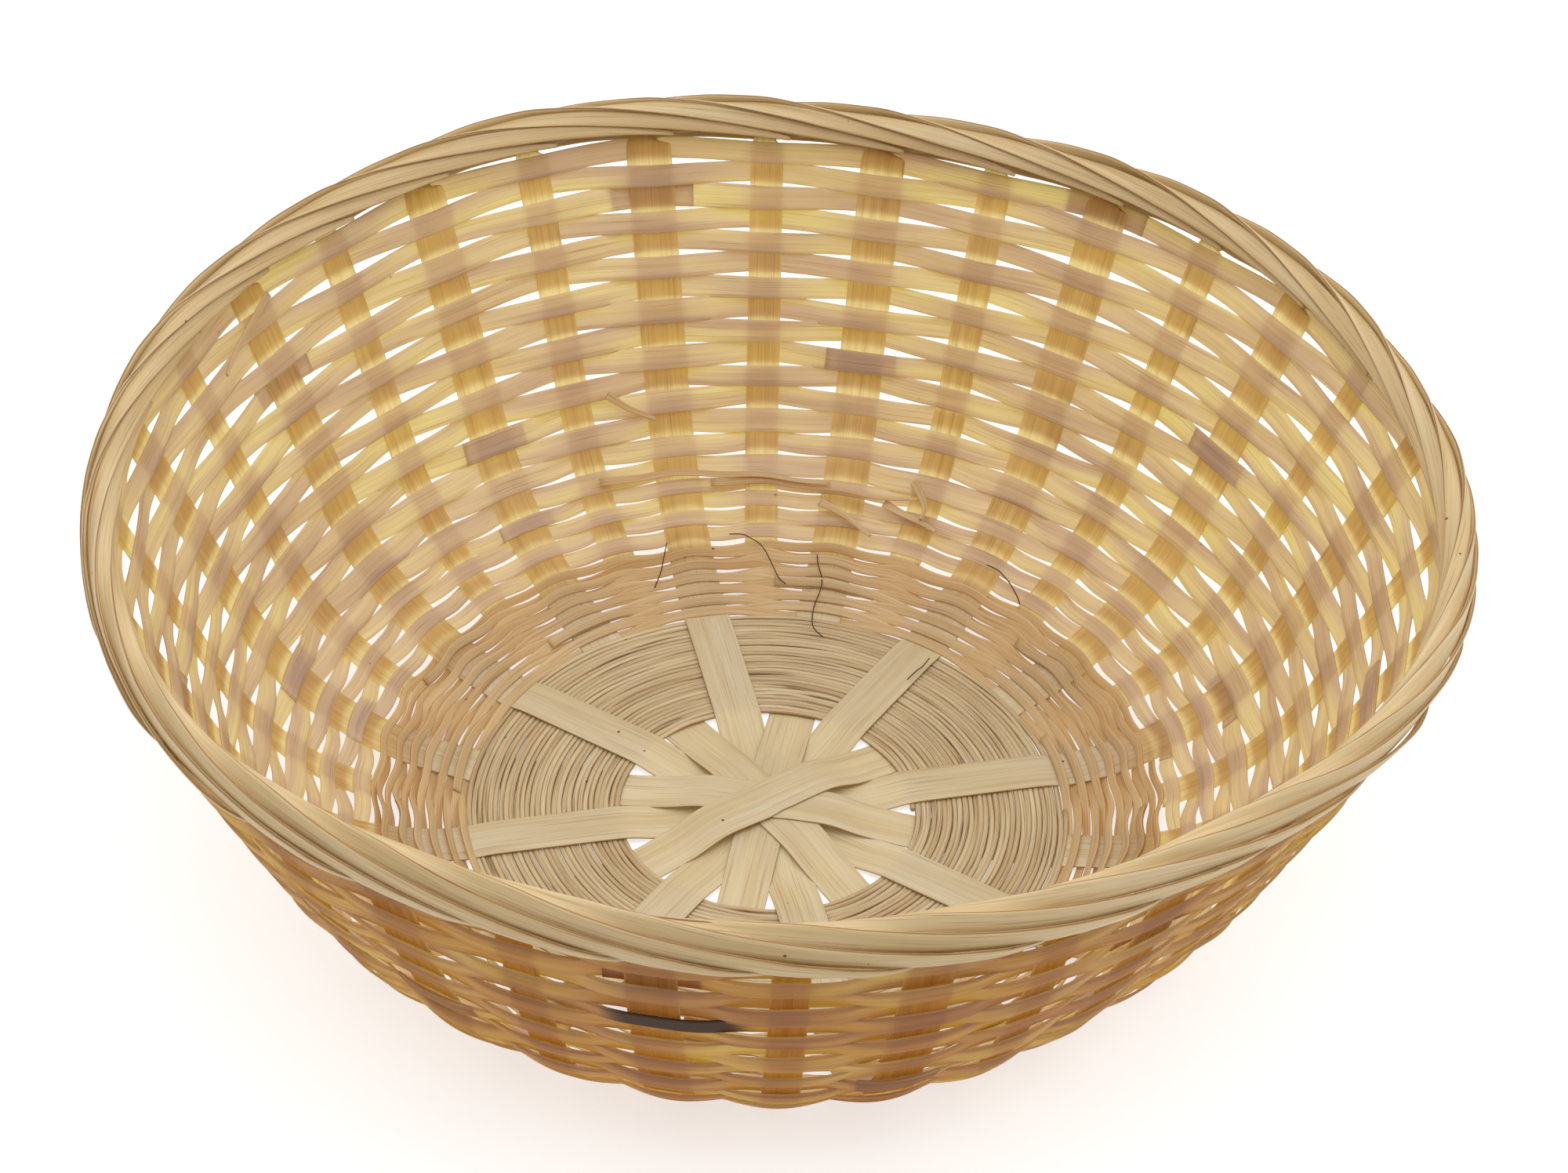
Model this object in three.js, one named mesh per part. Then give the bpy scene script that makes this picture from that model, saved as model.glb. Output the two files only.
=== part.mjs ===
// A round bowl woven from split bamboo, such as bread is served in.
// Millimetres, +Z up, origin at the middle of the foot, with the bowl standing on z = 0.
//
// Eight long strips cross in the base. Each runs on up the wall as a stake on both sides
// and ends lying on edge in the rolled rim. A fine coil binds the cross, twined strands turn
// the corner into the wall, and flat ribbons weave round all thirty-two stakes up to the rim.

import * as THREE from 'three';
import { mergeVertices } from 'three/addons/utils/BufferGeometryUtils.js';

// Driving dimensions.

const clearance = 0.3; // between strips that touch in the real bowl
const weaveClearance = 0.35; // between a stake and what is woven round it

// long strips and side stakes
const crossStripCount = 8;
const stakeCount = 32; // sixteen ends of long strips, with sixteen side stakes between them
const stripWidth = 9.0;
const sideStakeWidth = 6.6;
const splintThickness = 0.5;
const rimSplintThickness = 0.7;

// middle surface of the wall: a flat foot, an arc and a straight lean out to the rim
const footRadius = 55.1;
const cornerRadius = 50.75;
const wallLean = THREE.MathUtils.degToRad(26.56); // away from upright
const footHeight = 1.25;
const cornerSegments = 7;
const leastStationSpacing = 1;

// how the strips of the cross come down from the pile, and go over or under the coil
const pileEdgeLength = 2.25; // from where the upper strips leave the pile to where the lower ones do
const landingLength = 5.25; // over which an upper strip comes down to the ground
const coilEntryOverLength = 1.7; // flat stretch of a strip before the coil that it lies on
const coilEntryUnderLength = 1.9; // the same for a strip that lies under the coil
const coilExitLength = 1.9; // from the coil's edge to where a strip joins the wall's surface

// fine coil round the cross
const coilLoops = 24;
const coilStepsPerLoop = 18;
const coilInnerRadius = 29.5;
const coilOuterRadius = 56.0;
const coilStrandWidth = 0.65;
const coilStrandHeight = 1.0;

// twined strands over the ends of the long strips only
const twinedCount = 12;
const twinedWidth = 1.15;

// side stakes, which start between the twined strands and the first ribbon
const stakeRootLength = 0.55; // how much of a side stake shows below that ribbon

// ribbons woven round every stake
const ribbonThickness = 0.5;
const lowRibbonCount = 4;
const lowRibbonWidth = 2.9;
const lowRibbonGap = 0.55;
const ribbonCount = 15;
const ribbonWidth = 4.15;
const ribbonGap = 0.464;
const ribbonMargin = 0.6; // how far a ribbon lies flat past the edge of a stake
const lapSpread = 7; // wide stakes between the lap of one round and that of the next

// rolled rim
const bendInnerRadius = 0.6;
const bendSteps = 3;
const tailSpan = 5; // stake spacings that a tail runs round the rim
const tailStartWidth = 5.8;
const tailEndWidth = 4.4;
const tailCrest = 0.6; // share of the tail at which it is highest
const tailCrestRise = 4.15;
const tailEndDrop = 1.9;
const tailEndLean = THREE.MathUtils.degToRad(14);
const tailLeanStart = 0.4; // share of the tail up to which it leans like the wall

// order of the eight strips in the pile at the centre, from the ground up
const pileLayer = [1, 7, 2, 4, 3, 5, 0, 6];

// Sizes that follow from them.

const stakeAngle = (2 * Math.PI) / stakeCount;
const spokeAngle = 2 * stakeAngle;
const layerPitch = splintThickness + clearance;
const cornerAngle = Math.PI / 2 - wallLean;
const cornerEnd = footRadius + cornerRadius * cornerAngle;
const weaveOffset = splintThickness / 2 + weaveClearance + ribbonThickness / 2;
const lapOffset = weaveOffset + ribbonThickness + clearance;

const underHeight = splintThickness / 2;
const coilHeight = splintThickness + clearance + coilStrandHeight / 2;
const overHeight = coilHeight + coilStrandHeight / 2 + clearance + splintThickness / 2;

// distances from the centre at which the strips of the cross change level: every other strip
// is clear of the next but one at pileEdgeOver, and each of its neighbours at neighboursPart
const pileEdgeOver = stripWidth / 2 / Math.sin(spokeAngle);
const pileEdgeUnder = pileEdgeOver + pileEdgeLength;
const overLanding = pileEdgeOver + landingLength;
const neighboursPart = stripWidth / 2 / Math.sin(spokeAngle / 2);
const coilEdge = coilInnerRadius - coilStrandWidth / 2 - clearance;
const coilEntryOver = coilEdge - coilEntryOverLength;
const coilEntryUnder = coilEdge - coilEntryUnderLength;
const coilExit = coilOuterRadius + coilStrandWidth / 2 + clearance;

// Up the wall everything follows on from the coil. These are distances from the centre along
// the middle surface: a row's is that of its own middle.
const wallEntry = coilExit + coilExitLength;
const twinedPitch = twinedWidth + clearance;
const twinedStart = wallEntry + clearance + twinedWidth / 2;
const twinedEnd = twinedStart + (twinedCount - 1) * twinedPitch + twinedWidth / 2;
const sideStakeStart = twinedEnd + clearance;
const lowRibbonPitch = lowRibbonWidth + lowRibbonGap;
const lowRibbonStart = sideStakeStart + stakeRootLength + lowRibbonWidth / 2;
const lowRibbonEnd = lowRibbonStart + (lowRibbonCount - 1) * lowRibbonPitch + lowRibbonWidth / 2;
const ribbonPitch = ribbonWidth + ribbonGap;
const ribbonStart = lowRibbonEnd + ribbonGap + ribbonWidth / 2;
const bendStart = ribbonStart + (ribbonCount - 1) * ribbonPitch + ribbonWidth / 2;

// how far a tail moves in over one stake spacing
const tailPitch = (rimSplintThickness + clearance) / Math.cos(wallLean);

// The middle surface of the wall.

// Stations along the corner arc. The straight wall goes on from the last of them.
const cornerStations = [];
for (let i = 0; i <= cornerSegments; i += 1) {
  const turn = (cornerAngle * i) / cornerSegments;
  cornerStations.push({
    s: footRadius + cornerRadius * turn,
    r: footRadius + cornerRadius * Math.sin(turn),
    z: footHeight + cornerRadius * (1 - Math.cos(turn)),
  });
}

// Radius, height and steepness of the middle surface at a distance s from the centre along it.
function surfaceAt(s) {
  const turn = THREE.MathUtils.clamp((s - footRadius) / cornerRadius, 0, cornerAngle);
  if (s <= footRadius) {
    return { r: s, z: footHeight, turn };
  }
  if (s >= cornerEnd) {
    const last = cornerStations[cornerSegments];
    const along = s - cornerEnd;
    return { r: last.r + along * Math.cos(turn), z: last.z + along * Math.sin(turn), turn };
  }
  const next = cornerStations.findIndex((station) => station.s > s);
  const a = cornerStations[next - 1];
  const b = cornerStations[next];
  const share = (s - a.s) / (b.s - a.s);
  return { r: a.r + share * (b.r - a.r), z: a.z + share * (b.z - a.z), turn };
}

function outward(angle) {
  return new THREE.Vector3(Math.cos(angle), Math.sin(angle), 0);
}

function sideways(angle) {
  return new THREE.Vector3(-Math.sin(angle), Math.cos(angle), 0);
}

// Up the slope of a surface that has turned up from level by the angle given.
function upSlope(angle, turn) {
  return outward(angle).multiplyScalar(Math.cos(turn)).setZ(Math.sin(turn));
}

// Square to that surface, towards the inside of the bowl.
function inwardNormal(angle, turn) {
  return outward(angle).multiplyScalar(-Math.sin(turn)).setZ(Math.cos(turn));
}

// Lofting a splint.

// One closed solid from a row of stations. Each has a centre, the direction of the splint's
// width and of its thickness, and both sizes.
function loftSplint(stations) {
  const corners = [
    [1, 1],
    [-1, 1],
    [-1, -1],
    [1, -1],
  ];
  const sides = corners.length;
  const positions = [];
  for (const station of stations) {
    for (const [across, through] of corners) {
      const corner = station.centre.clone();
      corner.addScaledVector(station.widthDirection, (across * station.width) / 2);
      corner.addScaledVector(station.normal, (through * station.thickness) / 2);
      positions.push(corner.x, corner.y, corner.z);
    }
  }
  const first = stations[0];
  const heading = stations[1].centre.clone().sub(first.centre);
  const rightHanded = first.widthDirection.clone().cross(first.normal).dot(heading) > 0;
  const indices = [];
  const addTriangle = (a, b, c) => {
    if (rightHanded) {
      indices.push(a, b, c);
    } else {
      indices.push(a, c, b);
    }
  };
  for (let i = 0; i + 1 < stations.length; i += 1) {
    for (let k = 0; k < sides; k += 1) {
      const a = sides * i + k;
      const b = sides * i + ((k + 1) % sides);
      addTriangle(a, b, b + sides);
      addTriangle(a, b + sides, a + sides);
    }
  }
  addTriangle(0, 2, 1);
  addTriangle(0, 3, 2);
  const end = sides * (stations.length - 1);
  addTriangle(end, end + 1, end + 2);
  addTriangle(end, end + 2, end + 3);
  const geometry = new THREE.BufferGeometry();
  geometry.setAttribute('position', new THREE.Float32BufferAttribute(positions, 3));
  geometry.setIndex(indices);
  const shared = mergeVertices(geometry, 1e-4);
  shared.computeVertexNormals();
  return shared;
}

// Stakes and their tails.

// A station of a strip where it lies in the base, at a distance from the centre.
function baseStation(angle, distance, height) {
  return {
    centre: outward(angle).multiplyScalar(distance).setZ(height),
    widthDirection: sideways(angle),
    normal: new THREE.Vector3(0, 0, 1),
    width: stripWidth,
    thickness: splintThickness,
  };
}

function wallStation(angle, s, width) {
  const { r, z, turn } = surfaceAt(s);
  return {
    centre: outward(angle).multiplyScalar(r).setZ(z),
    widthDirection: sideways(angle),
    normal: inwardNormal(angle, turn),
    width,
    thickness: splintThickness,
  };
}

function wallStations(angle, from, width) {
  const above = cornerStations.filter((station) => station.s > from + leastStationSpacing);
  return [from, ...above.map((station) => station.s)].map((s) => wallStation(angle, s, width));
}

// The quarter turn from upright to level, in the plane of the wall. The strip turns about a
// point beside its clockwise edge and thickens towards the rim.
function bendStations(angle, width) {
  const stations = [];
  const pivotAside = width / 2 + bendInnerRadius;
  for (let i = 0; i <= bendSteps; i += 1) {
    const share = i / bendSteps;
    const swing = (share * Math.PI) / 2;
    const widthHere = THREE.MathUtils.lerp(width, tailStartWidth, share);
    const reach = bendInnerRadius + widthHere / 2;
    const aside = pivotAside - reach * Math.cos(swing);
    const { r, z, turn } = surfaceAt(bendStart + reach * Math.sin(swing));
    const angleHere = angle - aside / r;
    const widthDirection = sideways(angleHere).multiplyScalar(Math.cos(swing));
    widthDirection.addScaledVector(upSlope(angleHere, turn), Math.sin(swing));
    stations.push({
      centre: outward(angleHere).multiplyScalar(r).setZ(z),
      widthDirection,
      normal: inwardNormal(angleHere, turn),
      width: widthHere,
      thickness: THREE.MathUtils.lerp(splintThickness, rimSplintThickness, share),
    });
  }
  return stations;
}

// The tail runs clockwise round the rim on edge, up over the tails of the stakes before it
// and down inside. Its stations stand over the stakes, so that neighbouring tails stay
// parallel.
function tailStations(angle) {
  const bendEnd = surfaceAt(bendStart + bendInnerRadius + tailStartWidth / 2);
  const stations = [];
  for (let spacing = 1; spacing <= tailSpan; spacing += 1) {
    const share = spacing / tailSpan;
    const climb = Math.min(share / tailCrest, 1);
    const rise = (tailCrestRise / 2) * (1 - Math.cos(Math.PI * climb));
    const drop = tailEndDrop * (Math.max(share - tailCrest, 0) / (1 - tailCrest)) ** 2;
    const height = rise - drop;
    const radius = bendEnd.r + height * Math.tan(wallLean) - tailPitch * spacing;
    const leanShare = Math.max(share - tailLeanStart, 0) / (1 - tailLeanStart);
    const lean = THREE.MathUtils.lerp(wallLean, tailEndLean, leanShare);
    const turn = Math.PI / 2 - lean;
    const angleHere = angle - spacing * stakeAngle;
    stations.push({
      centre: outward(angleHere).multiplyScalar(radius).setZ(bendEnd.z + height),
      widthDirection: upSlope(angleHere, turn),
      normal: inwardNormal(angleHere, turn),
      width: THREE.MathUtils.lerp(tailStartWidth, tailEndWidth, share),
      thickness: rimSplintThickness,
    });
  }
  return stations;
}

// Half of a long strip, from the edge of the pile at the centre out to the end of its tail.
function halfStrip(angle, isOver, pileHeight) {
  const stations = [];
  if (isOver) {
    stations.push(baseStation(angle, pileEdgeOver, pileHeight));
    stations.push(baseStation(angle, overLanding, underHeight));
    stations.push(baseStation(angle, neighboursPart, underHeight));
    stations.push(baseStation(angle, coilEntryOver, overHeight));
    stations.push(baseStation(angle, coilExit, overHeight));
  } else {
    stations.push(baseStation(angle, pileEdgeUnder, pileHeight));
    stations.push(baseStation(angle, neighboursPart, underHeight + layerPitch));
    stations.push(baseStation(angle, coilEntryUnder, underHeight));
    stations.push(baseStation(angle, coilExit, underHeight));
  }
  stations.push(...wallStations(angle, wallEntry, stripWidth));
  stations.push(...bendStations(angle, stripWidth));
  stations.push(...tailStations(angle));
  return stations;
}

// Turns a half round so that it can lead into the other one.
function reversed(stations) {
  return stations.reverse().map((station) => ({
    ...station,
    widthDirection: station.widthDirection.clone().negate(),
  }));
}

function crossStrip(index) {
  const angle = stakeAngle + index * spokeAngle;
  const isOver = index % 2 === 0;
  const pileHeight = underHeight + pileLayer[index] * layerPitch;
  const near = halfStrip(angle, isOver, pileHeight);
  const far = halfStrip(angle + Math.PI, isOver, pileHeight);
  return loftSplint([...reversed(far), ...near]);
}

function sideStake(index) {
  const angle = index * spokeAngle;
  return loftSplint([
    ...wallStations(angle, sideStakeStart, sideStakeWidth),
    ...bendStations(angle, sideStakeWidth),
    ...tailStations(angle),
  ]);
}

// Weavers.

// A station of a weaver beside a stake: level with it, a distance aside along its face and a
// distance off the middle surface, inwards if positive.
function weaverStation(stakeDirection, s, aside, offset, width) {
  const { r, z, turn } = surfaceAt(s);
  const normal = inwardNormal(stakeDirection, turn);
  const centre = outward(stakeDirection).multiplyScalar(r).setZ(z);
  centre.addScaledVector(sideways(stakeDirection), aside);
  centre.addScaledVector(normal, offset);
  return {
    centre,
    widthDirection: upSlope(stakeDirection, turn),
    normal,
    width,
    thickness: ribbonThickness,
  };
}

// How far a ribbon stands off a stake that it crosses with a single bend, so that it still
// clears the edges of that stake.
function singleBendOffset(r, halfWidth, previousHalfWidth) {
  const run = r * stakeAngle - previousHalfWidth - ribbonMargin;
  const share = halfWidth / run;
  return (weaveOffset * (1 + share)) / (1 - share);
}

// One round of a weaver. It starts at one stake, goes once round and ends lapped over its own
// start, with both ends cut square. Stakes are given as an angle, a half width and the side
// that the weaver takes: 1 inside.
function weaverRound(stakes, lapIndex, s, width, bendOnce) {
  const { r } = surfaceAt(s);
  const stations = [];
  const count = stakes.length;
  for (let step = 0; step <= count; step += 1) {
    const stake = stakes[(lapIndex + step) % count];
    const direction = stake.angle;
    const reach = stake.halfWidth + ribbonMargin;
    const isLap = step === count;
    const isBeforeLap = step === count - 1;
    if (bendOnce && stake.isNarrow && !isBeforeLap) {
      const offset = stake.side * singleBendOffset(r, stake.halfWidth, stripWidth / 2);
      stations.push(weaverStation(direction, s, 0, offset, width));
    } else {
      const offset = stake.side * (isLap ? lapOffset : weaveOffset);
      const early = isLap ? ribbonMargin : 0;
      stations.push(weaverStation(direction, s, -reach - early, offset, width));
      stations.push(weaverStation(direction, s, reach, offset, width));
    }
  }
  return loftSplint(stations);
}

function spokeStakes(evenSide) {
  const stakes = [];
  for (let i = 0; i < 2 * crossStripCount; i += 1) {
    stakes.push({
      angle: stakeAngle + i * spokeAngle,
      halfWidth: stripWidth / 2,
      side: i % 2 === 0 ? evenSide : -evenSide,
      isNarrow: false,
    });
  }
  return stakes;
}

function allStakes(wideSide) {
  const stakes = [];
  for (let i = 0; i < stakeCount; i += 1) {
    const isNarrow = i % 2 === 0;
    stakes.push({
      angle: i * stakeAngle,
      halfWidth: (isNarrow ? sideStakeWidth : stripWidth) / 2,
      side: isNarrow ? -wideSide : wideSide,
      isNarrow,
    });
  }
  return stakes;
}

// The laps of successive rounds are spread round the bowl, always at a wide stake.
function lapStake(stakes, row) {
  const wide = stakes.map((stake, index) => index).filter((index) => !stakes[index].isNarrow);
  return wide[(row * lapSpread) % wide.length];
}

function twinedStrand(row) {
  const stakes = spokeStakes(row % 2 === 0 ? 1 : -1);
  const s = twinedStart + row * twinedPitch;
  return weaverRound(stakes, lapStake(stakes, row), s, twinedWidth, false);
}

function lowRibbon(row) {
  const stakes = allStakes(row % 2 === 0 ? -1 : 1);
  const s = lowRibbonStart + row * lowRibbonPitch;
  return weaverRound(stakes, lapStake(stakes, row), s, lowRibbonWidth, false);
}

function wallRibbon(row) {
  const stakes = allStakes(row % 2 === 0 ? -1 : 1);
  const s = ribbonStart + row * ribbonPitch;
  return weaverRound(stakes, lapStake(stakes, row), s, ribbonWidth, true);
}

// The fine coil of the base.

function coilStation(step) {
  const share = step / (coilLoops * coilStepsPerLoop);
  const angle = (step * 2 * Math.PI) / coilStepsPerLoop;
  const radius = THREE.MathUtils.lerp(coilInnerRadius, coilOuterRadius, share);
  return {
    centre: outward(angle).multiplyScalar(radius).setZ(coilHeight),
    widthDirection: outward(angle),
    normal: new THREE.Vector3(0, 0, 1),
    width: coilStrandWidth,
    thickness: coilStrandHeight,
  };
}

function baseCoil() {
  const stations = [];
  for (let step = 0; step <= coilLoops * coilStepsPerLoop; step += 1) {
    stations.push(coilStation(step));
  }
  return stations;
}

// Least gap between one loop of the coil and the next, measured at points along the edges
// that face each other.
function leastCoilGap(stations) {
  const edgePoint = (index, share, side) => {
    const a = stations[index];
    const b = stations[index + 1];
    const point = a.centre.clone().lerp(b.centre, share);
    const across = a.widthDirection.clone().lerp(b.widthDirection, share);
    return point.addScaledVector(across, (side * coilStrandWidth) / 2);
  };
  let least = Infinity;
  for (let i = 0; i + 1 + coilStepsPerLoop < stations.length; i += 1) {
    for (const share of [0, 0.25, 0.5, 0.75]) {
      const outer = edgePoint(i, share, 1);
      const facing = new THREE.Line3(
        edgePoint(i + coilStepsPerLoop, 0, -1),
        edgePoint(i + coilStepsPerLoop, 1, -1),
      );
      const nearest = facing.closestPointToPoint(outer, true, new THREE.Vector3());
      least = Math.min(least, nearest.distanceTo(outer));
    }
  }
  return least;
}

// Assembly.

const bamboo = {
  strip: new THREE.MeshStandardMaterial({ color: 0xdcc9a2, roughness: 0.62, metalness: 0 }),
  sideStake: new THREE.MeshStandardMaterial({ color: 0xd6bf92, roughness: 0.64, metalness: 0 }),
  ribbon: new THREE.MeshStandardMaterial({ color: 0xd2b47e, roughness: 0.58, metalness: 0 }),
  twined: new THREE.MeshStandardMaterial({ color: 0xc9a871, roughness: 0.6, metalness: 0 }),
  coil: new THREE.MeshStandardMaterial({ color: 0xd8c3a0, roughness: 0.68, metalness: 0 }),
};

const bowl = new THREE.Group();

function addPiece(name, geometry, material) {
  const mesh = new THREE.Mesh(geometry, material);
  mesh.name = name;
  bowl.add(mesh);
}

function numbered(name, index) {
  return `${name}_${String(index + 1).padStart(2, '0')}`;
}

for (let i = 0; i < crossStripCount; i += 1) {
  const lie = i % 2 === 0 ? 'over' : 'under';
  addPiece(numbered(`cross_strip_${lie}`, Math.floor(i / 2)), crossStrip(i), bamboo.strip);
}

const coilStations = baseCoil();
addPiece('base_coil', loftSplint(coilStations), bamboo.coil);
console.log(`least gap between loops of the base coil: ${leastCoilGap(coilStations).toFixed(3)} mm`);

for (let i = 0; i < stakeCount / 2; i += 1) {
  addPiece(numbered('side_stake', i), sideStake(i), bamboo.sideStake);
}
for (let row = 0; row < twinedCount; row += 1) {
  addPiece(numbered('twined_strand', row), twinedStrand(row), bamboo.twined);
}
for (let row = 0; row < lowRibbonCount; row += 1) {
  addPiece(numbered('low_ribbon', row), lowRibbon(row), bamboo.ribbon);
}
for (let row = 0; row < ribbonCount; row += 1) {
  addPiece(numbered('wall_ribbon', row), wallRibbon(row), bamboo.ribbon);
}

export default bowl;
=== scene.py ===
# A round bowl woven from split bamboo, dressed for a studio picture.
# Everything is in metres, +Z up, standing on z = 0 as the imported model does.

import bpy
import numpy as np
from mathutils import Matrix, Vector


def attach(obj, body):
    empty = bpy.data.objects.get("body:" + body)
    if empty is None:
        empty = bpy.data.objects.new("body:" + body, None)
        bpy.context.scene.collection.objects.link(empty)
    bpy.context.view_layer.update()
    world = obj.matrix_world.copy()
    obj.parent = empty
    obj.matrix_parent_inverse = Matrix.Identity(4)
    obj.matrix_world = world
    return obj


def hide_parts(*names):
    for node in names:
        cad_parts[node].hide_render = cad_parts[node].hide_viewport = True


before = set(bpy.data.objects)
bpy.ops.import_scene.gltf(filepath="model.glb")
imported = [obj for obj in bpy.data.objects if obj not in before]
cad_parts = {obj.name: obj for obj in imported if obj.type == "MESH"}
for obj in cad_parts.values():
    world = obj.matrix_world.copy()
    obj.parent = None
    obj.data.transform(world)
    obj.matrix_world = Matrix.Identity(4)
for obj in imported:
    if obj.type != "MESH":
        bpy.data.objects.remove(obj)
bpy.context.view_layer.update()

mm = 0.001
turnRound = 2 * np.pi
print("frame loaded:", len(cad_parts), "pieces")


# Camera, at the photograph's angle

camera = {
    "distance": 667.3 * mm,  # from the middle of the foot, along the floor
    "height": 605.3 * mm,
    "bearing": -2.5,  # degrees, from straight in front, negative to the left
    "heading": 2.63,  # degrees, from +Y towards +X
    "pitch": 39.47,  # degrees, downwards
    "roll": 2.395,  # degrees
    "lens": 108.31,  # mm, on the sensor below
    "sensor": 36,
    "clip": (0.05, 20),
}


def placeCamera(c):
    # forward, right and up from heading and pitch, then a small roll about the forward axis
    bearing, heading, pitch, roll = np.radians([c["bearing"], c["heading"], c["pitch"], c["roll"]])
    forward = Vector((np.sin(heading) * np.cos(pitch), np.cos(heading) * np.cos(pitch), -np.sin(pitch)))
    level = Vector((np.cos(heading), -np.sin(heading), 0))
    upright = level.cross(forward)
    right = np.cos(roll) * level + np.sin(roll) * upright
    up = -np.sin(roll) * level + np.cos(roll) * upright
    data = bpy.data.cameras.new("studioCamera")
    data.lens = c["lens"]
    data.sensor_width = c["sensor"]
    data.clip_start, data.clip_end = c["clip"]
    body = bpy.data.objects.new("studioCamera", data)
    place = Matrix.Identity(4)
    spot = (np.sin(bearing) * c["distance"], -np.cos(bearing) * c["distance"], c["height"])
    for index, axis in enumerate((right, up, -forward, spot)):
        for row in range(3):
            place[row][index] = axis[row]
    body.matrix_world = place
    bpy.context.collection.objects.link(body)
    bpy.context.scene.camera = body


placeCamera(camera)
print("camera placed")


# Studio: a pale floor that glows, a white room and two soft lights, overhead and on the right

studio = {
    "floorColour": "C4C4C4",
    "floorRoughness": 0.9,
    "floorGloss": 0.2,
    "glowColour": "FFFFFF",
    "floorGlow": 0.62,  # the paper lies on a light table
    "edgeGlow": 0.2,  # in front of the table
    "tableEdge": (-0.26, -0.11),  # along Y, where edgeGlow ends and where floorGlow is reached
    "floorSize": 9.0,
    "roomColour": "FFFFFF",
    "roomBright": 1.0,  # behind the bowl and overhead
    "roomDim": 0.22,  # in front of it and low down
    "roomLift": 0.45,  # how much looking up counts against looking to the back
    "roomRange": (-0.5, 0.7),  # of that sum, from the dim to the bright
    "overheadSize": 1.1,
    "overheadWatts": 6.7,
    "overheadSpot": (-0.1, -0.42, 1.1),
    "besideSize": 0.8,
    "besideWatts": 1.6,
    "besideSpot": (0.7, -0.1, 0.6),
    "aim": (0, 0, 0.04),  # what both lights point at
}


def linear(code):
    # an sRGB hex value as linear red, green and blue
    steps = np.array([int(code[i : i + 2], 16) for i in (0, 2, 4)]) / 255
    return np.where(steps <= 0.04045, steps / 12.92, ((steps + 0.055) / 1.055) ** 2.4)


def colour(code):
    return (*linear(code), 1.0)


def addNode(tree, kind, values=None, links=None, **settings):
    # a node with its settings, its fixed inputs and the sockets that lead into it
    node = tree.nodes.new(kind)
    for key, value in settings.items():
        setattr(node, key, value)
    for key, value in (values or {}).items():
        node.inputs[key].default_value = value
    for key, socket in (links or {}).items():
        tree.links.new(socket, node.inputs[key])
    return node


def newMaterial(name):
    material = bpy.data.materials.new(name)
    material.use_nodes = True
    tree = material.node_tree
    tree.nodes.clear()
    return material, tree


def makeStudio(s):
    material, tree = newMaterial("matt_white_paper")
    surface = addNode(
        tree,
        "ShaderNodeBsdfPrincipled",
        {
            "Base Color": colour(s["floorColour"]),
            "Roughness": s["floorRoughness"],
            "Specular IOR Level": s["floorGloss"],
            "Emission Color": colour(s["glowColour"]),
        },
    )
    # the light table ends in front of the bowl, so that the bowl's front stands in the shade
    spot = addNode(tree, "ShaderNodeTexCoord").outputs["Object"]
    split = addNode(tree, "ShaderNodeSeparateXYZ", links={0: spot})
    near, far = s["tableEdge"]
    table = addNode(
        tree,
        "ShaderNodeMapRange",
        {"From Min": near, "From Max": far, "To Min": s["edgeGlow"], "To Max": s["floorGlow"]},
        {"Value": split.outputs["Y"]},
    )
    tree.links.new(table.outputs[0], surface.inputs["Emission Strength"])
    addNode(tree, "ShaderNodeOutputMaterial", links={"Surface": surface.outputs[0]})
    half = s["floorSize"] / 2
    floor = bpy.data.meshes.new("floor")
    floor.from_pydata(
        [(-half, -half, 0), (half, -half, 0), (half, half, 0), (-half, half, 0)], [], [(0, 1, 2, 3)]
    )
    floor.materials.append(material)
    floorObject = bpy.data.objects.new("floor", floor)
    bpy.context.collection.objects.link(floorObject)

    world = bpy.context.scene.world or bpy.data.worlds.new("room")
    bpy.context.scene.world = world
    world.use_nodes = True
    room = world.node_tree
    backdrop = room.nodes["Background"]
    backdrop.inputs["Color"].default_value = colour(s["roomColour"])
    way = addNode(room, "ShaderNodeTexCoord").outputs["Generated"]
    split = addNode(room, "ShaderNodeSeparateXYZ", links={0: way})
    lift = addNode(
        room,
        "ShaderNodeMath",
        {1: s["roomLift"]},
        {0: split.outputs["Z"], 2: split.outputs["Y"]},
        operation="MULTIPLY_ADD",
    )
    low, high = s["roomRange"]
    bright = addNode(
        room,
        "ShaderNodeMapRange",
        {"From Min": low, "From Max": high, "To Min": s["roomDim"], "To Max": s["roomBright"]},
        {"Value": lift.outputs[0]},
    )
    room.links.new(bright.outputs[0], backdrop.inputs["Strength"])

    for name in ("overhead", "beside"):
        lamp = bpy.data.lights.new(name, "AREA")
        lamp.shape = "DISK"
        lamp.size = s[name + "Size"]
        lamp.energy = s[name + "Watts"]
        lampObject = bpy.data.objects.new(name, lamp)
        lampObject.location = s[name + "Spot"]
        aim = Vector(s["aim"]) - Vector(s[name + "Spot"])
        lampObject.rotation_euler = aim.to_track_quat("-Z", "Y").to_euler()
        bpy.context.collection.objects.link(lampObject)
    bpy.context.scene.view_settings.view_transform = "Standard"


makeStudio(studio)
print("studio lit")


# The bowl's form: sizes in millimetres until the mesh is made

form = {
    "stakes": 32,
    "footRadius": 55.1,
    "cornerRadius": 50.75,
    "wallLean": 26.56,  # degrees away from upright
    "footHeight": 1.25,
    "frontShadePower": 4,  # how narrow the front with painted shade is
}
wideStakes = form["stakes"] // 2
stakeAngle = turnRound / form["stakes"]
cornerAngle = np.radians(90 - form["wallLean"])
cornerEnd = form["footRadius"] + form["cornerRadius"] * cornerAngle


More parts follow.
